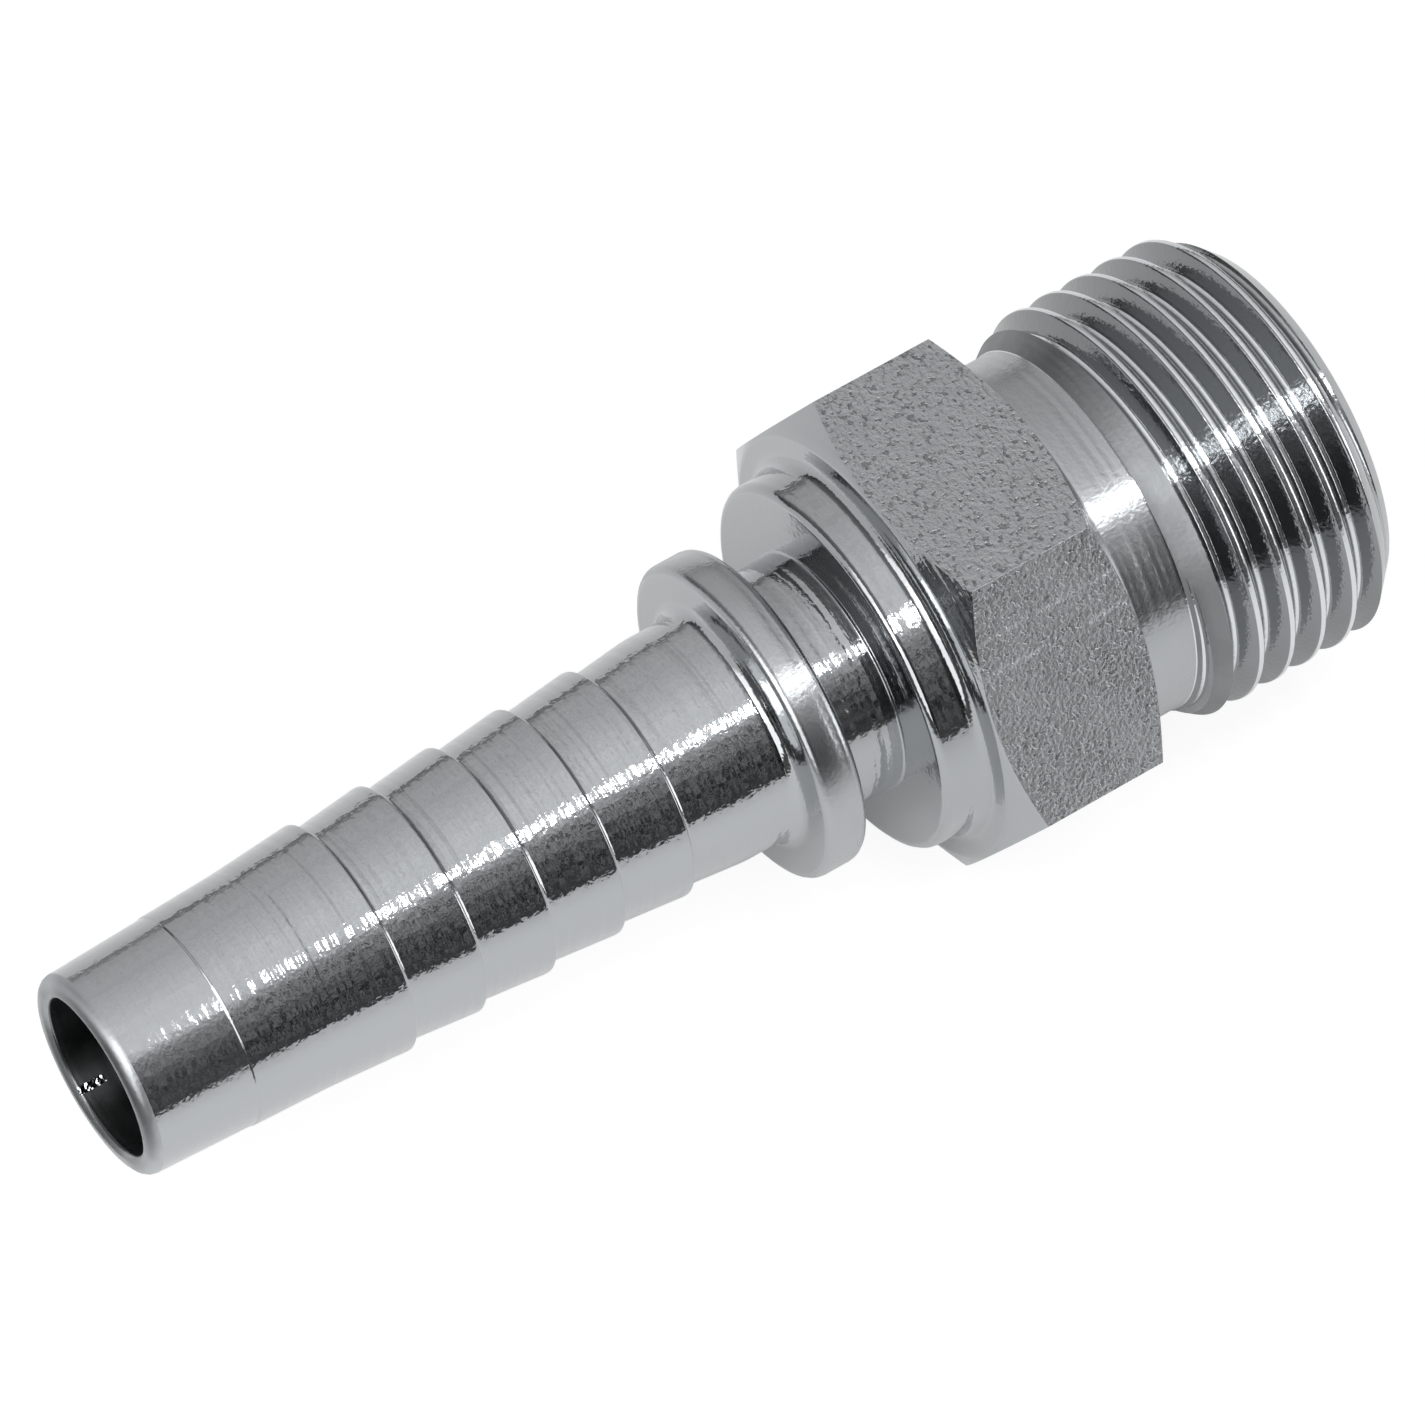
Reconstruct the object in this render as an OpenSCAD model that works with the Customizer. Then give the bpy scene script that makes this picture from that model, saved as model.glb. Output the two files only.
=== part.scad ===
// Straight male hose fitting, turned from hexagon bar.
// The axis runs along X: hose end towards -X, thread end towards +X.
// The fitting lies on one hexagon flat, and the middle of that flat is the origin.

/* [Hose tail] */
// Diameter of the bore for the flow
bore_d = 6.9; // [5:0.1:7.6]
// Width of the broken edge at the bore's mouth
bore_edge = 0.2; // [0.1:0.05:0.3]
// Outside diameter at the tip
nose_d = 8.7; // [8.5:0.1:9]
// Outside diameter where the nose ends and the first barb begins
nose_end_d = 9.44; // [9.3:0.02:9.6]
// Length of the slender nose
nose_len = 8.2; // [5:0.1:12]
// Radius of the rounded tip
nose_r = 0.5; // [0.2:0.05:0.6]
// Number of barbs
barb_count = 5; // [2:1:8]
// Distance from one barb to the next
barb_pitch = 3.23; // [2.5:0.01:4.5]
// Diameter over the barbs
barb_d = 9.96; // [9.8:0.02:11]
// Diameter at the foot of each barb
barb_root_d = 9.3; // [8.9:0.02:9.5]
// Length of the flat land on each barb
barb_land = 0.15; // [0.05:0.05:0.5]
// Length of the first barb's cone
lead_len = 3.5; // [2:0.1:6]
// Diameter of the plain land behind the barbs
tail_d = 9.9; // [9.7:0.02:10.2]
// Length of the plain land behind the barbs
tail_land = 2.2; // [1.5:0.1:6]
// Fillet radius where the tail meets the stop collar
tail_fillet = 0.6; // [0.2:0.1:0.9]

/* [Crimp collars] */
// Diameter of the stop collar
stop_d = 13.9; // [13:0.1:15.5]
// Width of the stop collar
stop_w = 1.9; // [1.4:0.1:3]
// Diameter of the groove that the ferrule is crimped into
groove_d = 10.4; // [9.9:0.1:11.5]
// Width of the crimp groove
groove_w = 2.85; // [1.5:0.05:5]
// Diameter of the shoulder in front of the hexagon
shoulder_d = 16.2; // [15.6:0.1:16.8]
// Width of the shoulder
shoulder_w = 1.95; // [1.5:0.05:4]
// Radius on the collar edges
collar_r = 0.4; // [0.1:0.05:0.6]
// Fillet radius where the shoulder meets the hexagon
shoulder_fillet = 0.6; // [0.2:0.1:0.8]

/* [Hexagon] */
// Width across the flats
across_flats = 19; // [18.6:0.1:24]
// Length of the hexagon along the axis
hex_len = 7.3; // [5:0.1:12]
// Diameter at which the corner chamfers begin
chamfer_d = 18.75; // [18.1:0.05:19]
// Angle of the corner chamfers from the end faces
chamfer_angle = 30; // [15:1:35]

/* [Thread end] */
// Outside diameter over the thread
thread_d = 17.9; // [17.2:0.05:18]
// Length from the hexagon to the thread end
thread_end_len = 12.4; // [10:0.1:18]
// Diameter of the thread relief
relief_d = 16; // [15.6:0.1:16.6]
// Width of the thread relief
relief_w = 2.75; // [1.5:0.05:4]
// Angle of the cone that leads out of the relief
runout_angle = 35; // [30:1:60]
// Diameter of the end face
end_d = 15.3; // [15:0.1:16]

/* [Pipe seat] */
// Full angle of the sealing cone
cone_angle = 24; // [20:1:28]
// Diameter of the sealing cone at its mouth
cone_mouth_d = 14.3; // [13.6:0.1:14.6]
// Diameter of the pipe socket behind the cone
socket_d = 12.2; // [11.8:0.05:12.6]
// Depth of the pipe socket from the end face
socket_depth = 7; // [6.5:0.1:9]

/* [Hidden] */

arc_steps = 6;
past = 1;

hex_x0 = -hex_len / 2;
hex_x1 = hex_len / 2;
shoulder_x = hex_x0 - shoulder_w;
groove_x = shoulder_x - groove_w;
stop_x = groove_x - stop_w;
barb_slope = (barb_d - barb_root_d) / 2 / (barb_pitch - barb_land);
last_cone_len = (tail_d - barb_root_d) / 2 / barb_slope;
last_barb_x = stop_x - tail_land - last_cone_len;
first_barb_x = last_barb_x - (barb_count - 1) * barb_pitch;
tip_x = first_barb_x - lead_len - nose_len;
relief_x1 = hex_x1 + relief_w;
thread_x0 = relief_x1 + (thread_d - relief_d) / 2 / tan(runout_angle);
end_x = hex_x1 + thread_end_len;
end_chamfer = (thread_d - end_d) / 2;
socket_x = end_x - socket_depth;
cone_len = (cone_mouth_d - socket_d) / 2 / tan(cone_angle / 2);
corner_d = across_flats / cos(30);
chamfer_slope = tan(chamfer_angle);

// Points of an arc in the section, where each point is [x, radius]
function arc(centre, r, from, to) =
    [for (i = [0 : arc_steps])
        let (a = from + (to - from) * i / arc_steps)
        centre + r * [cos(a), sin(a)]];

// A collar that stands on a groove or land, from its foot to its far foot
function collar(x0, x1, d, foot0, foot1) = concat(
    [[x0, foot0 / 2]],
    arc([x0 + collar_r, d / 2 - collar_r], collar_r, 180, 90),
    arc([x1 - collar_r, d / 2 - collar_r], collar_r, 90, 0),
    [[x1, foot1 / 2]]);

// One barb: a rising cone, a short land and a square back
function barb(x, foot_x, foot_d) = [
    [foot_x, foot_d / 2],
    [x - barb_land, barb_d / 2],
    [x, barb_d / 2],
    [x, barb_root_d / 2]];

function tail_section() = concat(
    [[tip_x, 0]],
    arc([tip_x + nose_r, nose_d / 2 - nose_r], nose_r, 180, 90),
    barb(first_barb_x, first_barb_x - lead_len, nose_end_d),
    [for (i = [1 : barb_count - 1])
        for (p = barb(first_barb_x + i * barb_pitch,
                      first_barb_x + (i - 1) * barb_pitch, barb_root_d)) p],
    [[last_barb_x + last_cone_len, tail_d / 2]]);

function collar_section() = concat(
    arc([stop_x - tail_fillet, tail_d / 2 + tail_fillet], tail_fillet, -90, 0),
    collar(stop_x, groove_x, stop_d, tail_d + 2 * tail_fillet, groove_d),
    [[shoulder_x, groove_d / 2]],
    arc([shoulder_x + collar_r, shoulder_d / 2 - collar_r], collar_r, 180, 90),
    arc([hex_x0 - shoulder_fillet, shoulder_d / 2 + shoulder_fillet],
        shoulder_fillet, -90, 0));

function thread_section() = [
    [hex_x1, shoulder_d / 2 + shoulder_fillet],
    [hex_x1, relief_d / 2],
    [relief_x1, relief_d / 2],
    [thread_x0, thread_d / 2],
    [end_x - end_chamfer, thread_d / 2],
    [end_x, end_d / 2],
    [end_x, 0]];

// Turns a section of [x, radius] points about the X axis
module turned(section) {
    rotate([0, 90, 0])
        rotate_extrude($fn = 96)
            polygon([for (p = section) [p[1], p[0]]]);
}

// Bar stock with its corners turned to 30 degrees at both ends
module hexagon() {
    corner_x = (corner_d - chamfer_d) / 2 * chamfer_slope;
    intersection() {
        translate([hex_x0, 0, 0]) rotate([0, 90, 0]) rotate(30)
            cylinder(d = corner_d, h = hex_len, $fn = 6);
        turned([
            [hex_x0, 0],
            [hex_x0, chamfer_d / 2],
            [hex_x0 + corner_x, corner_d / 2],
            [hex_x0 + corner_x, corner_d / 2 + past],
            [hex_x1 - corner_x, corner_d / 2 + past],
            [hex_x1 - corner_x, corner_d / 2],
            [hex_x1, chamfer_d / 2],
            [hex_x1, 0]]);
    }
}

// Everything that is bored out: flow bore, pipe socket and sealing cone
module bores() {
    turned([
        [tip_x - past, 0],
        [tip_x - past, bore_d / 2 + bore_edge + past],
        [tip_x + bore_edge, bore_d / 2],
        [socket_x, bore_d / 2],
        [socket_x, socket_d / 2],
        [end_x - cone_len, socket_d / 2],
        [end_x + past, cone_mouth_d / 2 + past * tan(cone_angle / 2)],
        [end_x + past, 0]]);
}

module hose_fitting() {
    color("silver")
    translate([0, 0, across_flats / 2])
    difference() {
        union() {
            turned(concat(tail_section(), collar_section(), thread_section()));
            hexagon();
        }
        bores();
    }
}

hose_fitting();
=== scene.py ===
import math

import bmesh
import bpy
from mathutils import Matrix, Vector


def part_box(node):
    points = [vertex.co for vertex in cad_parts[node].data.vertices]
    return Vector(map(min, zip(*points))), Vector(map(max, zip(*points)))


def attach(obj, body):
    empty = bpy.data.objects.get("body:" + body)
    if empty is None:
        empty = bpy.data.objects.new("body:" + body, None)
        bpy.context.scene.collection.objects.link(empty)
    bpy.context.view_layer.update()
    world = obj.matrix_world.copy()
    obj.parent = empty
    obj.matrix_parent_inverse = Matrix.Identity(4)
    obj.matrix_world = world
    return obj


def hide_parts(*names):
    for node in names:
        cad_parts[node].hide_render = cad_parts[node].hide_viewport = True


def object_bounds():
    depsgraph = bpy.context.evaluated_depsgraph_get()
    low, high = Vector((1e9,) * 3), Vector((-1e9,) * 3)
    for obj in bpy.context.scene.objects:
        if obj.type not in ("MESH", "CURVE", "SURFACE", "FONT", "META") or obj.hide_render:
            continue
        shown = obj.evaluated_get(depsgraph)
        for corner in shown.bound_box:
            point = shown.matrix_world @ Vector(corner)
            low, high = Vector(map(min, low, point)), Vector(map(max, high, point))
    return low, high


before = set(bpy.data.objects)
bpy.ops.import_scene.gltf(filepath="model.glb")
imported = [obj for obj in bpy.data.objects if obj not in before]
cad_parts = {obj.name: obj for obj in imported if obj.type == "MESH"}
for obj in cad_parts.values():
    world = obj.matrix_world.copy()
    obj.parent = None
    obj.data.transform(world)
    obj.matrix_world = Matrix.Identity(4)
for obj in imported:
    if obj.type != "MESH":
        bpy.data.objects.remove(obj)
cad_low, cad_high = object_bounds()

# Camera: a long lens that looks down on the fitting from in front of its hose end.
# It is aimed at the tail behind the stop collar, where the picture has its middle.
MM = 0.001
camera_azimuth = math.radians(33.3)
camera_elevation = math.radians(55.4)
camera_roll = math.radians(-0.6)
camera_distance = 450 * MM
camera_aim = Vector((-10.75, 0.68, 9.89)) * MM
camera_lens, sensor_width = 289, 36

camera_data = bpy.data.cameras.new("camera")
camera_data.sensor_width = sensor_width
camera_data.lens = camera_lens
camera_data.clip_start = 0.02
camera_data.clip_end = 20
camera = bpy.data.objects.new("camera", camera_data)
camera.matrix_world = (
    Matrix.Translation(camera_aim)
    @ Matrix.Rotation(-camera_azimuth, 4, "Z")
    @ Matrix.Rotation(math.pi / 2 - camera_elevation, 4, "X")
    @ Matrix.Rotation(camera_roll, 4, "Z")
    @ Matrix.Translation((0, 0, camera_distance))
)
bpy.context.scene.collection.objects.link(camera)
bpy.context.scene.camera = camera
bpy.context.scene.view_settings.view_transform = "Standard"

# Plating: bright zinc on free-cutting steel, with a faint blue cast.
# The lathe's feed leaves rings in the steel below it, and the plating bath leaves small pits.
node_low, node_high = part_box("hose_fitting")
axis_height = (node_low.z + node_high.z) / 2
zinc = (0.44, 0.455, 0.467)


def shader_group(name, inputs, outputs):
    group = bpy.data.node_groups.new(name, "ShaderNodeTree")
    for label, value in inputs:
        socket = group.interface.new_socket(label, in_out="INPUT", socket_type="NodeSocketFloat")
        socket.default_value = value
    for label in outputs:
        group.interface.new_socket(label, in_out="OUTPUT", socket_type="NodeSocketFloat")
    return group, group.nodes.new("NodeGroupInput"), group.nodes.new("NodeGroupOutput")


def add_node(tree, kind, **settings):
    node = tree.nodes.new("ShaderNode" + kind)
    for name, value in settings.items():
        setattr(node, name, value)
    return node


def calculate(tree, operation, *values):
    node = add_node(tree, "Math", operation=operation)
    for socket, value in zip(node.inputs, values):
        if isinstance(value, bpy.types.NodeSocket):
            tree.links.new(value, socket)
        else:
            socket.default_value = value
    return node.outputs[0]


def noise(tree, vector, scale, detail=2.0, roughness=0.5):
    node = add_node(tree, "TexNoise")
    node.inputs["Scale"].default_value = scale
    node.inputs["Detail"].default_value = detail
    node.inputs["Roughness"].default_value = roughness
    tree.links.new(vector, node.inputs["Vector"])
    return node.outputs["Fac"]


def ramp(tree, value, stops):
    node = add_node(tree, "ValToRGB")
    while len(node.color_ramp.elements) < len(stops):
        node.color_ramp.elements.new(1)
    for element, (place, grey) in zip(node.color_ramp.elements, stops):
        element.position = place
        element.color = (grey, grey, grey, 1)
    tree.links.new(value, node.inputs["Fac"])
    return node.outputs["Color"]


def lathe_marks():
    """Height in metres of the rings that the tool leaves, along the axis or across a face."""
    fine_scale, coarse_scale, round_scale = 6500, 2200, 0.02
    drift_scale, drift_reach = 150, 0.3 * MM
    tree, given, made = shader_group(
        "lathe_marks", [("Fine", 1e-6), ("Coarse", 1e-6)], ["Height"])
    place = add_node(tree, "TexCoord")
    centred = add_node(tree, "Mapping")
    centred.inputs["Location"].default_value = (0, 0, -axis_height)
    tree.links.new(place.outputs["Object"], centred.inputs["Vector"])
    split = add_node(tree, "SeparateXYZ")
    tree.links.new(centred.outputs["Vector"], split.inputs[0])
    x, y, z = split.outputs
    radius = calculate(tree, "SQRT", calculate(
        tree, "ADD", calculate(tree, "MULTIPLY", y, y), calculate(tree, "MULTIPLY", z, z)))
    drift = calculate(
        tree, "MULTIPLY", noise(tree, centred.outputs["Vector"], drift_scale), drift_reach)
    ring = add_node(tree, "CombineXYZ")
    tree.links.new(calculate(tree, "ADD", x, drift), ring.inputs["X"])
    tree.links.new(radius, ring.inputs["Y"])
    tree.links.new(calculate(tree, "MULTIPLY", y, round_scale), ring.inputs["Z"])
    fine = calculate(
        tree, "MULTIPLY", noise(tree, ring.outputs[0], fine_scale, 1), given.outputs["Fine"])
    coarse = calculate(
        tree, "MULTIPLY", noise(tree, ring.outputs[0], coarse_scale, 1), given.outputs["Coarse"])
    tree.links.new(calculate(tree, "ADD", fine, coarse), made.inputs["Height"])
    return tree


def plating_skin():
    """Height in metres of the plating's orange peel, grain and pits, and a mask of the pits."""
    peel_scale, grain_scale, pit_scale = 4200, 5600, 4600
    pit_edges = [(0.32, 1), (0.42, 0)]
    tree, given, made = shader_group(
        "plating_skin", [("Peel", 1e-6), ("Grain", 1e-6), ("Pits", 1e-6)], ["Height", "Pit"])
    place = add_node(tree, "TexCoord").outputs["Object"]
    peel = calculate(tree, "MULTIPLY", noise(tree, place, peel_scale, 1), given.outputs["Peel"])
    grain = calculate(tree, "MULTIPLY", noise(tree, place, grain_scale, 2), given.outputs["Grain"])
    pit = ramp(tree, noise(tree, place, pit_scale, 1), pit_edges)
    sunk = calculate(tree, "MULTIPLY", calculate(tree, "MULTIPLY", pit, -1), given.outputs["Pits"])
    proud = calculate(tree, "ADD", peel, grain)
    tree.links.new(calculate(tree, "ADD", proud, sunk), made.inputs["Height"])
    tree.links.new(pit, made.inputs["Pit"])
    return tree


lathe_group = lathe_marks()
skin_group = plating_skin()
cloud_scale, cloud_gloss, pit_shade = 420, (0.8, 1.25), 0.6


def zinc_material(name, rings, skin_heights, roughness, shade=1.0):
    """Plated steel: the heights of its rings (fine, coarse) and of its skin (peel, grain, pits)
    are in metres, and shade is painted light or shade: it makes the zinc darker below 1 and lighter
    above it."""
    material = bpy.data.materials.new(name)
    material.use_nodes = True
    tree = material.node_tree
    shader = tree.nodes["Principled BSDF"]
    shader.inputs["Metallic"].default_value = 1
    marks = add_node(tree, "Group", node_tree=lathe_group)
    marks.inputs["Fine"].default_value = rings[0]
    marks.inputs["Coarse"].default_value = rings[1]
    skin = add_node(tree, "Group", node_tree=skin_group)
    for label, value in zip(("Peel", "Grain", "Pits"), skin_heights):
        skin.inputs[label].default_value = value
    bump = add_node(tree, "Bump")
    bump.inputs["Distance"].default_value = 1
    height = calculate(tree, "ADD", marks.outputs["Height"], skin.outputs["Height"])
    tree.links.new(height, bump.inputs["Height"])
    tree.links.new(bump.outputs["Normal"], shader.inputs["Normal"])
    place = add_node(tree, "TexCoord")
    cloud = noise(tree, place.outputs["Object"], cloud_scale, 3)
    glossy, dull = cloud_gloss
    tree.links.new(ramp(tree, cloud, [(0.3, roughness * glossy), (0.7, roughness * dull)]),
                   shader.inputs["Roughness"])
    tint = add_node(tree, "Mix", data_type="RGBA")
    tint.inputs["A"].default_value = [shade * c for c in zinc] + [1]
    tint.inputs["B"].default_value = [shade * pit_shade * c for c in zinc] + [1]
    if skin_heights[2]:
        tree.links.new(skin.outputs["Pit"], tint.inputs["Factor"])
    else:
        tint.inputs["Factor"].default_value = 0
    tree.links.new(tint.outputs["Result"], shader.inputs["Base Color"])
    return material


nose_zinc = zinc_material("nose_zinc", (4e-6, 14e-6), (10e-6, 5e-6, 0), 0.12)
# The tip's end and rounding: rough zinc, lightened 1.12 times as painted light.
tip_painted_light_zinc = zinc_material("tip_painted_light_zinc", (3e-6, 10e-6), (10e-6, 6e-6, 0), 0.48, 1.12)
tail_zinc = zinc_material("tail_zinc", (3e-6, 60e-6), (9e-6, 5e-6, 0), 0.08)
# Collars and neck: zinc slightly darkened (0.93, 0.97) as painted shade. Flat faces: slightly
# lightened (1.04) as painted light.
collar_zinc = zinc_material("collar_zinc", (3e-6, 34e-6), (7e-6, 4e-6, 0), 0.09, 0.93)
face_zinc = zinc_material("face_zinc", (2e-6, 8e-6), (6e-6, 3e-6, 0), 0.1, 1.04)
neck_zinc = zinc_material("neck_zinc", (3e-6, 36e-6), (8e-6, 8e-6, 0), 0.25, 0.97)
thread_rings, thread_skin = (1.5e-6, 4e-6), (8e-6, 6e-6, 0)
thread_zinc = zinc_material("thread_zinc", thread_rings, thread_skin, 0.12)
# Crests and roots of the thread: zinc lightened 1.6 times, a painted highlight for their bright
# lines.
crest_painted_highlight_zinc = zinc_material("crest_painted_highlight_zinc", thread_rings, thread_skin, 0.12, 1.6)
# Flanks facing the hose end: zinc darkened to 0.6, painted shade.
flank_painted_shade_zinc = zinc_material("flank_painted_shade_zinc", thread_rings, (10e-6, 12e-6, 0), 0.1, 0.6)
# Run-out cone from the relief into the thread: rough zinc darkened to 0.58, painted shade.
runout_painted_shade_zinc = zinc_material("runout_painted_shade_zinc", (3e-6, 40e-6), (8e-6, 8e-6, 0), 0.45, 0.58)
bar_zinc = zinc_material("bar_zinc", (0, 0), (14e-6, 48e-6, 14e-6), 0.34, 1.0)
# Flow bore, socket and sealing cone: zinc darkened to 0.45, painted shade inside the bore.
bore_painted_shade_zinc = zinc_material("bore_painted_shade_zinc", (4e-6, 15e-6), (3e-6, 0, 0), 0.3, 0.45)
# Burrs in the bore's mouth: bumps in zinc lightened 1.5 times, painted glints.
burr_painted_glint_zinc = zinc_material("burr_painted_glint_zinc", (0, 0), (130e-6, 0, 0), 0.15, 1.5)

drawn_line_places, drawn_line_half_width = (6.6 * MM, 7.35 * MM), 0.08 * MM
drawn_line_shade, worn_scale = 1.4, 900


def add_drawn_lines(material):
    """Two light lines along a flat, where the drawing die has rubbed the bar."""
    ramp_scale = 100
    edges = ((-drawn_line_half_width, 0), (0, 1), (drawn_line_half_width, 0))
    stops = [((middle + offset) * ramp_scale, grey)
             for middle in drawn_line_places for offset, grey in edges]
    tree = material.node_tree
    place = add_node(tree, "TexCoord")
    split = add_node(tree, "SeparateXYZ")
    tree.links.new(place.outputs["Object"], split.inputs[0])
    line = ramp(tree, calculate(tree, "MULTIPLY", split.outputs["Y"], -ramp_scale), stops)
    worn = ramp(tree, noise(tree, place.outputs["Object"], worn_scale, 2), [(0.35, 0.2), (0.6, 1)])
    lighten = add_node(tree, "Mix", data_type="RGBA")
    lighten.inputs["B"].default_value = [drawn_line_shade * c for c in zinc] + [1]
    tree.links.new(calculate(tree, "MULTIPLY", line, worn), lighten.inputs["Factor"])
    shader = tree.nodes["Principled BSDF"]
    tree.links.new(shader.inputs["Base Color"].links[0].from_socket, lighten.inputs["A"])
    tree.links.new(lighten.outputs["Result"], shader.inputs["Base Color"])


add_drawn_lines(bar_zinc)

# Turned body: the whole outline from the tip of the tail to the thread end, cut on a lathe.
# The flow bore, the pipe socket and the 24 degree sealing cone are bored along the same axis.
tip_x, nose_end_x, last_barb_x, tail_end_x = -39.97, -31.77, -15.35, -10.35
tip_r, nose_end_r, tail_r, tail_land = 4.35, 4.72, 4.95, 2.2
nose_mark_x, nose_mark_width, nose_mark_foot_r, nose_mark_r = -35.2, 0.06, 4.54, 4.585
barb_count, barb_pitch, barb_land, barb_r, barb_root_r = 5, 3.23, 0.15, 4.98, 4.65
stop_r, shoulder_r = 6.95, 8.1
groove_x0, groove_x1, groove_r = -8.45, -5.6, 5.2
hexagon_x0, hexagon_x1 = -3.65, 3.65
chamfer_r, corner_r, chamfer_angle = 9.375, 11.4, math.radians(30)
relief_x, relief_r = 6.4, 8.0
crest_r, thread_x0 = 8.95, 7.757
end_x, end_r = 16.05, 7.65
socket_x, socket_r, cone_x, cone_r = 9.05, 6.1, 11.11, 7.15
bore_r, bore_edge, burr_end_x = 3.45, 0.2, -38.6
turn_steps, corner_steps = 192, 4


def outline():
    """Corners of the section as (x, radius, rounding) in millimetres, round the whole wall."""
    chamfer_run = (corner_r - chamfer_r) * math.tan(chamfer_angle)
    corners = [
        (tip_x, bore_r + bore_edge, 0.08), (tip_x, tip_r, 0.5),
        (nose_mark_x - nose_mark_width, nose_mark_foot_r, 0.02), (nose_mark_x, nose_mark_r, 0.02),
        (nose_end_x, nose_end_r, 0.3)]
    barb_x = last_barb_x - (barb_count - 1) * barb_pitch
    for _ in range(barb_count):
        corners += [
            (barb_x - barb_land, barb_r, 0.05), (barb_x, barb_r, 0.05), (barb_x, barb_root_r, 0.24)]
        barb_x += barb_pitch
    return corners + [
        (tail_end_x - tail_land, tail_r, 0.3), (tail_end_x, tail_r, 0.6),
        (tail_end_x, stop_r, 0.4), (groove_x0, stop_r, 0.4), (groove_x0, groove_r, 0.12),
        (groove_x1, groove_r, 0.1), (groove_x1, shoulder_r, 0.4), (hexagon_x0, shoulder_r, 0.6),
        (hexagon_x0, chamfer_r, 0.1), (hexagon_x0 + chamfer_run, corner_r, 0),
        (hexagon_x1 - chamfer_run, corner_r, 0), (hexagon_x1, chamfer_r, 0.1),
        (hexagon_x1, relief_r, 0.15), (relief_x, relief_r, 0.1), (thread_x0, crest_r, 0.08),
        (end_x - crest_r + end_r, crest_r, 0.08), (end_x, end_r, 0.1),
        (end_x, cone_r, 0.08), (cone_x, socket_r, 0.05), (socket_x, socket_r, 0.2),
        (socket_x, bore_r, 0.1), (burr_end_x, bore_r, 0), (tip_x + bore_edge, bore_r, 0.08)]


def round_corners(mesh, line, corners, steps):
    """Rounds the vertices of a section by the third value of their corners, in millimetres."""
    for vertex, (_, _, rounding) in zip(line, corners):
        if rounding:
            bmesh.ops.bevel(mesh, geom=[vertex], offset=rounding * MM, offset_type="OFFSET",
                            segments=steps, profile=0.5, affect="VERTICES", material=-1)


def finished(mesh, name, material):
    """Object of a closed mesh, with its doubles merged and its faces outwards."""
    bmesh.ops.remove_doubles(mesh, verts=mesh.verts[:], dist=0.0005 * MM)
    bmesh.ops.recalc_face_normals(mesh, faces=mesh.faces[:])
    for face in mesh.faces:
        face.smooth = True
    data = bpy.data.meshes.new(name)
    mesh.to_mesh(data)
    mesh.free()
    data.materials.append(material)
    piece = bpy.data.objects.new(name, data)
    bpy.context.scene.collection.objects.link(piece)
    return piece


def spun(corners, material):
    """Mesh object turned about the fitting's axis from a closed section."""
    mesh = bmesh.new()
    ring = [mesh.verts.new((x * MM, 0, axis_height + r * MM)) for x, r, _ in corners]
    mesh.faces.new(ring)
    round_corners(mesh, ring, corners, corner_steps)
    bmesh.ops.delete(mesh, geom=mesh.faces[:], context="FACES_ONLY")
    bmesh.ops.spin(mesh, geom=mesh.verts[:] + mesh.edges[:], cent=(0, 0, axis_height),
                   axis=(1, 0, 0), angle=math.tau, steps=turn_steps, use_merge=True)
    return finished(mesh, "turned_blank", material)


fitting = spun(outline(), collar_zinc)

# Hexagon: the bar that the fitting is turned from, 19 mm across its drawn flats.
# Only the length between the shoulder and the thread relief keeps its flats and corners.
across_flats = node_high.z - node_low.z
bar_past_end, ridge_round = 3 * MM, 0.015 * MM


def hexagon_bar():
    mesh = bmesh.new()
    length = cad_high.x - cad_low.x + 2 * bar_past_end
    corner = across_flats / math.sqrt(3)
    lie_along_x = Matrix.Rotation(math.pi / 2, 4, "Y")
    middle = Vector(((cad_low.x + cad_high.x) / 2, 0, axis_height))
    bmesh.ops.create_cone(mesh, cap_ends=True, segments=6, radius1=corner, radius2=corner,
                          depth=length, matrix=Matrix.Translation(middle) @ lie_along_x)
    ridges = [e for e in mesh.edges if abs(e.verts[0].co.x - e.verts[1].co.x) > length / 2]
    bmesh.ops.bevel(mesh, geom=ridges, offset=ridge_round, offset_type="OFFSET", segments=2,
                    profile=0.5, affect="EDGES", material=-1)
    return finished(mesh, "hexagon_bar", bar_zinc)


def apply_modifiers(piece):
    """Keeps the mesh that the modifiers make and drops the modifiers."""
    bpy.context.view_layer.update()
    evaluated = piece.evaluated_get(bpy.context.evaluated_depsgraph_get())
    data = bpy.data.meshes.new_from_object(evaluated)
    piece.modifiers.clear()
    piece.data = data


def keep_common(piece, tool):
    """Cuts piece down to what it shares with tool, which is then deleted."""
    cut = piece.modifiers.new("cut", "BOOLEAN")
    cut.operation = "INTERSECT"
    cut.solver = "MANIFOLD"
    cut.material_mode = "TRANSFER"
    cut.object = tool
    apply_modifiers(piece)
    bpy.data.objects.remove(tool)


keep_common(fitting, hexagon_bar())

# Thread: M18 x 1.5, right-handed, with rolled-looking rounded crests and roots.
# Its grooves run out into the relief behind the hexagon and through the chamfer at the end.
thread_pitch, thread_depth, flank_angle = 1.5, 0.8, math.radians(30)
crest_flat, crest_round, root_round = 0.28, 0.08, 0.1
thread_start_x, thread_turns, thread_corner_steps = 4.17, 8, 3
start_angle = math.radians(300)
wider_than_blank = 1.6


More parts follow.
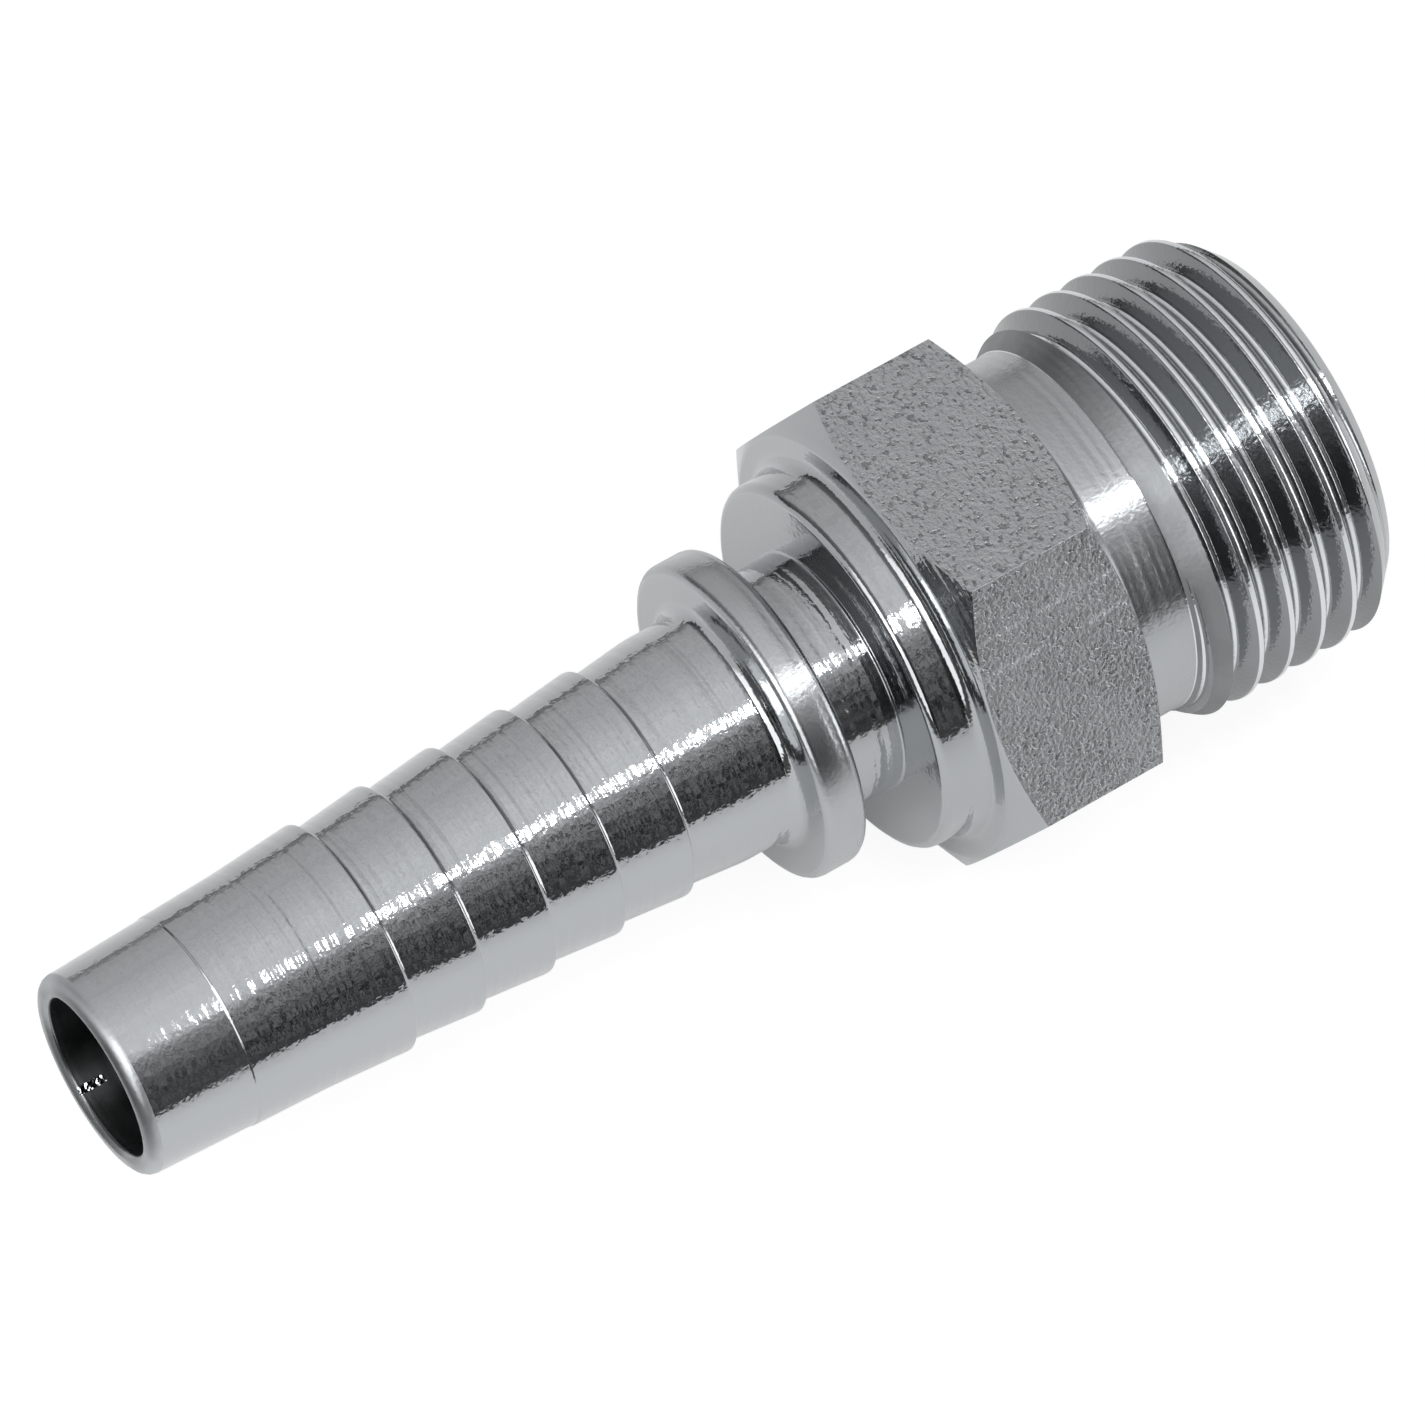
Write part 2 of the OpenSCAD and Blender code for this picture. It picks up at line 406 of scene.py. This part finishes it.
def close_end(mesh, near, widening, far_x):
    """Closes an open end of the thread with a wall out to a wider bar and a flat cap."""
    rim = [e for e in mesh.edges if e.is_boundary and all(near(v) for v in e.verts)]
    for widen, place in ((widening, None), (1.0, far_x)):
        made = bmesh.ops.extrude_edge_only(mesh, edges=rim)["geom"]
        rim = [g for g in made if isinstance(g, bmesh.types.BMEdge)]
        for vertex in {v for e in rim for v in e.verts}:
            vertex.co.y *= widen
            vertex.co.z *= widen
            if place is not None:
                vertex.co.x = place
    bmesh.ops.contextual_create(mesh, geom=rim)


def threaded_bar():
    mesh = bmesh.new()
    flank = thread_depth * math.tan(flank_angle)
    root_r = crest_r - thread_depth
    root_half = (thread_pitch - crest_flat - 2 * flank) / 2
    corners = [
        (0, root_r, 0), (root_half, root_r, root_round), (root_half + flank, crest_r, crest_round),
        (thread_pitch - root_half - flank, crest_r, crest_round),
        (thread_pitch - root_half, root_r, root_round), (thread_pitch, root_r, 0)]
    line = [mesh.verts.new(((thread_start_x + x) * MM, 0, r * MM)) for x, r, _ in corners]
    for pair in zip(line, line[1:]):
        mesh.edges.new(pair)
    round_corners(mesh, line, corners, thread_corner_steps)
    to_start = Matrix.Rotation(start_angle - math.pi / 2, 4, "X")
    bmesh.ops.transform(mesh, matrix=to_start, verts=mesh.verts[:])
    bmesh.ops.spin(mesh, geom=mesh.verts[:] + mesh.edges[:], cent=(0, 0, 0), axis=(1, 0, 0),
                   dvec=(thread_pitch * MM / turn_steps, 0, 0), angle=math.tau, steps=turn_steps)
    one_turn = mesh.verts[:] + mesh.edges[:] + mesh.faces[:]
    for turn in range(1, thread_turns):
        copied = bmesh.ops.duplicate(mesh, geom=one_turn)["geom"]
        bmesh.ops.translate(mesh, vec=(turn * thread_pitch * MM, 0, 0),
                            verts=[g for g in copied if isinstance(g, bmesh.types.BMVert)])
    bmesh.ops.remove_doubles(mesh, verts=mesh.verts[:], dist=0.001 * MM)
    first_end_x, last_end_x = (thread_start_x + 2) * MM, (end_x + 0.05) * MM
    close_end(mesh, lambda v: v.co.x < first_end_x, wider_than_blank, cad_low.x - bar_past_end)
    close_end(mesh, lambda v: v.co.x > last_end_x, 1.0, cad_high.x + bar_past_end)
    bmesh.ops.translate(mesh, vec=(0, 0, axis_height), verts=mesh.verts[:])
    return finished(mesh, "threaded_bar", thread_zinc)


keep_common(fitting, threaded_bar())

# The finished fitting is one solid piece, so it is one mesh with its finishes and its painted light
# and shade by surface.
# Its sharp edges are kept sharp, and flats stay flat where they meet the rounded corners.
# A short row of bumped burrs is left in the mouth of the flow bore, lightened as painted glints.
sharp_angle = math.radians(33)
burr_side, burr_half_angle = Vector((0.45, -0.893)), math.radians(3)
margin, touch, tip_length, end_length = 0.05, 0.0001, 0.5, 1.3
inward, square, slanted, steep = -0.8, 0.97, 0.75, 0.4  # parts of a face's unit normal


def finish_of(face):
    """The zinc finish of a face, some with painted light or shade in their colour, by where it lies
    and which way it looks.
    """
    centre = (face.calc_center_median() - Vector((0, 0, axis_height))) / MM
    x, lean = centre.x, face.normal.x
    if face.normal.yz.dot(centre.yz.normalized()) < inward and centre.yz.length < cone_r:
        burred = x < burr_end_x and centre.yz.angle(burr_side) < burr_half_angle
        return burr_painted_glint_zinc if burred else bore_painted_shade_zinc
    if x < tip_x + tip_length:
        return tip_painted_light_zinc
    if x < nose_mark_x:
        return nose_zinc
    if x < tail_end_x - 2 * margin:
        return tail_zinc
    if relief_x < x < thread_x0 + margin and -slanted < lean < -steep:
        return runout_painted_shade_zinc
    # Crests and roots carry the painted highlight.
    if relief_x < x < end_x - end_length and abs(lean) < steep:
        return crest_painted_highlight_zinc
    if x > relief_x:
        return flank_painted_shade_zinc if lean < -steep else thread_zinc
    if x < hexagon_x0 + margin and abs(lean) > square:
        return face_zinc
    if x > hexagon_x1 - touch or x < groove_x0 + margin:
        return neck_zinc
    return collar_zinc


def finish_mesh(piece):
    mesh = bmesh.new()
    mesh.from_mesh(piece.data)
    bmesh.ops.remove_doubles(mesh, verts=mesh.verts[:], dist=0.001 * MM)
    flats = piece.data.materials.find(bar_zinc.name)
    for finish in (tip_painted_light_zinc, nose_zinc, tail_zinc, face_zinc, neck_zinc, thread_zinc, crest_painted_highlight_zinc,
                   flank_painted_shade_zinc, runout_painted_shade_zinc, bore_painted_shade_zinc, burr_painted_glint_zinc):
        if finish.name not in piece.data.materials:
            piece.data.materials.append(finish)
    for face in mesh.faces:
        face.smooth = True
        if face.material_index != flats:
            face.material_index = piece.data.materials.find(finish_of(face).name)
    for edge in mesh.edges:
        edge.smooth = len(edge.link_faces) == 2 and edge.calc_face_angle(0) < sharp_angle
    mesh.to_mesh(piece.data)
    mesh.free()
    flatten = piece.modifiers.new("flat_faces", "WEIGHTED_NORMAL")
    flatten.mode = "FACE_AREA"
    flatten.weight = 100
    flatten.thresh = 1e-9
    flatten.keep_sharp = True
    apply_modifiers(piece)


finish_mesh(fitting)
fitting.name = "zinc_plated_fitting"
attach(fitting, "root")
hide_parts("hose_fitting")

# Floor: a white sheet that the fitting lies on, bright enough to be the picture's background.
# It keeps the fitting's soft shadow, and the metal's lower side mirrors it.
floor_half = 1500 * MM
paper_grey, sheet_white, white_share, mirrored_lift = 0.9, 1.12, 0.8, 0.14
floor_mesh = bmesh.new()
bmesh.ops.create_grid(floor_mesh, x_segments=1, y_segments=1, size=floor_half)
floor_data = bpy.data.meshes.new("floor")
floor_mesh.to_mesh(floor_data)
floor_mesh.free()
floor = bpy.data.objects.new("floor", floor_data)
bpy.context.scene.collection.objects.link(floor)


def floor_material():
    material = bpy.data.materials.new("white_sheet")
    material.use_nodes = True
    tree = material.node_tree
    tree.nodes.clear()
    paper = add_node(tree, "BsdfDiffuse")
    paper.inputs["Color"].default_value = (paper_grey, paper_grey, paper_grey, 1)
    path = add_node(tree, "LightPath")
    white = add_node(tree, "Emission")
    white.inputs["Strength"].default_value = sheet_white
    seen = add_node(tree, "MixShader")
    seen_share = calculate(tree, "MULTIPLY", path.outputs["Is Camera Ray"], white_share)
    tree.links.new(seen_share, seen.inputs["Fac"])
    tree.links.new(paper.outputs[0], seen.inputs[1])
    tree.links.new(white.outputs[0], seen.inputs[2])
    mirrored = calculate(
        tree, "MAXIMUM", path.outputs["Is Glossy Ray"], path.outputs["Is Transmission Ray"])
    lift = add_node(tree, "Emission")
    tree.links.new(calculate(tree, "MULTIPLY", mirrored, mirrored_lift), lift.inputs["Strength"])
    both = add_node(tree, "AddShader")
    tree.links.new(seen.outputs[0], both.inputs[0])
    tree.links.new(lift.outputs[0], both.inputs[1])
    out = add_node(tree, "OutputMaterial")
    tree.links.new(both.outputs[0], out.inputs["Surface"])
    return material


floor_data.materials.append(floor_material())

# Dark cards: two low ones stand on the sheet, on the camera's side and past the hose end.
# Only the metal mirrors them, and they give its turned and cut faces their dark bands.
card_grey = 0.12


def dark_card(name, middle, length, height, turn):
    """A card that stands upright, turned about Z from facing the camera's side."""
    mesh = bmesh.new()
    upright = Matrix.Rotation(-math.pi / 2, 4, "X") @ Matrix.Diagonal((length / 2, height / 2, 1, 1))
    place = Matrix.Translation(middle) @ Matrix.Rotation(turn, 4, "Z") @ upright
    bmesh.ops.create_grid(mesh, x_segments=1, y_segments=1, size=1, matrix=place)
    data = bpy.data.meshes.new(name)
    mesh.to_mesh(data)
    mesh.free()
    material = bpy.data.materials.new(name)
    material.use_nodes = True
    shader = material.node_tree.nodes["Principled BSDF"]
    shader.inputs["Base Color"].default_value = (card_grey, card_grey, card_grey, 1)
    shader.inputs["Roughness"].default_value = 1
    data.materials.append(material)
    card = bpy.data.objects.new(name, data)
    card.visible_camera = card.visible_diffuse = card.visible_shadow = False
    bpy.context.scene.collection.objects.link(card)


dark_card("near_card", Vector((230, -105, 6.5)) * MM, 540 * MM, 13 * MM, 0)
dark_card("hose_end_card", Vector((-48, -45, 7)) * MM, 110 * MM, 14 * MM, math.pi / 2)

# Light: a pale grey tent over the fitting, darker on the camera's side and at the two far ends,
# with a glow past the hose end and another low on the camera's side at the thread end.
# A row of small lamps just above the camera's line draws the beaded line on the turned metal.
tent_greys = [
    (0, 0.24), (5, 0.28), (9, 0.52), (20, 0.6), (40, 0.66), (60, 0.76), (90, 0.98), (115, 1.02),
    (128, 0.45), (138, 0.24), (150, 0.15), (165, 0.11), (180, 0.11)]
end_shades = [
    (-1, 0.2), (-0.42, 0.25), (-0.2, 0.35), (-0.02, 1), (0.22, 1.09), (0.28, 1.03), (0.33, 0.93),
    (0.45, 0.86), (0.6, 0.35), (1, 0.25)]
hose_end_glow = [(-0.93, 0), (-0.88, 1), (-0.57, 1), (-0.52, 0)]
near_side_fill = [(0.5, 0), (0.57, 1), (0.9, 1), (0.96, 0)]
glow_strength, fill_strength, blotch_scale = 2, 2.4, 16


def lean_stops(pairs):
    """Ramp stops for greys that are given by how far a direction leans along X, from -1 to 1."""
    return [((x + 1) / 2, grey) for x, grey in pairs]


def tent():
    """World colour by the direction's angle about X, from the horizon behind, over the top."""
    world = bpy.data.worlds.new("tent")
    bpy.context.scene.world = world
    world.use_nodes = True
    tree = world.node_tree
    place = add_node(tree, "TexCoord")
    split = add_node(tree, "SeparateXYZ")
    tree.links.new(place.outputs["Generated"], split.inputs[0])
    around = calculate(tree, "ARCTAN2", split.outputs["Z"], split.outputs["Y"])
    share = calculate(tree, "DIVIDE", around, math.pi)
    shade = ramp(tree, share, [(degrees / 180, grey) for degrees, grey in tent_greys])
    lean = calculate(tree, "MULTIPLY_ADD", split.outputs["X"], 0.5, 0.5)
    end_shade = ramp(tree, lean, lean_stops(end_shades))
    glow = ramp(tree, lean, lean_stops(hose_end_glow))
    blotch = ramp(
        tree, noise(tree, place.outputs["Generated"], blotch_scale, 2), [(0.38, 0.2), (0.62, 1.9)])
    in_dark = ramp(tree, share, [(0.66, 0.12), (0.74, 1)])
    mottle = calculate(tree, "MULTIPLY_ADD", calculate(tree, "SUBTRACT", blotch, 1), in_dark, 1)
    shaded = calculate(
        tree, "MULTIPLY", mottle, calculate(tree, "MULTIPLY", shade, end_shade))
    glow_level = ramp(tree, share, [(0.36, 0.4), (0.42, 1)])
    bright = calculate(tree, "MULTIPLY", glow_level, glow_strength)
    lift = calculate(tree, "MULTIPLY", calculate(tree, "SUBTRACT", bright, shaded), glow)
    fill = ramp(tree, lean, lean_stops(near_side_fill))
    near_side = ramp(tree, share, [(0.7, 0), (0.8, 1)])
    filled = calculate(
        tree, "MULTIPLY", calculate(tree, "MULTIPLY", near_side, fill), fill_strength)
    total = calculate(tree, "ADD", calculate(tree, "ADD", shaded, lift), filled)
    tree.links.new(total, tree.nodes["Background"].inputs["Strength"])
    tree.nodes["Background"].inputs["Color"].default_value = (1, 1, 1, 1)


tent()
lamp_turn, lamp_reach, lamp_width = math.radians(115.5), 60 * MM, 8.5 * MM
lamp_count, lamp_pitch, lamp_length, first_lamp_x = 6, 12 * MM, 3.2 * MM, -19.5 * MM
lamp_radiance, end_lamp_radiance, end_lamp_lean = 20, 5, math.radians(-37)
end_lamp_x, end_lamp_length, end_lamp_width = -20 * MM, 20 * MM, 30 * MM


def small_lamp(aimed_x, lean, length, width, radiance):
    """A lamp that looks at the fitting's axis, leant towards the thread end, or back if below 0."""
    data = bpy.data.lights.new("small_lamp", "AREA")
    data.shape = "RECTANGLE"
    data.size = length
    data.size_y = width
    data.energy = radiance * math.pi * length * width
    lamp = bpy.data.objects.new("small_lamp", data)
    lamp.visible_camera = False
    lamp.matrix_world = (
        Matrix.Translation((aimed_x, 0, axis_height))
        @ Matrix.Rotation(lamp_turn - math.pi / 2, 4, "X")
        @ Matrix.Rotation(lean, 4, "Y")
        @ Matrix.Translation((0, 0, lamp_reach)))
    bpy.context.scene.collection.objects.link(lamp)


for step in range(lamp_count):
    small_lamp(first_lamp_x + step * lamp_pitch, 0, lamp_length, lamp_width, lamp_radiance)
small_lamp(end_lamp_x, end_lamp_lean, end_lamp_length, end_lamp_width, end_lamp_radiance)
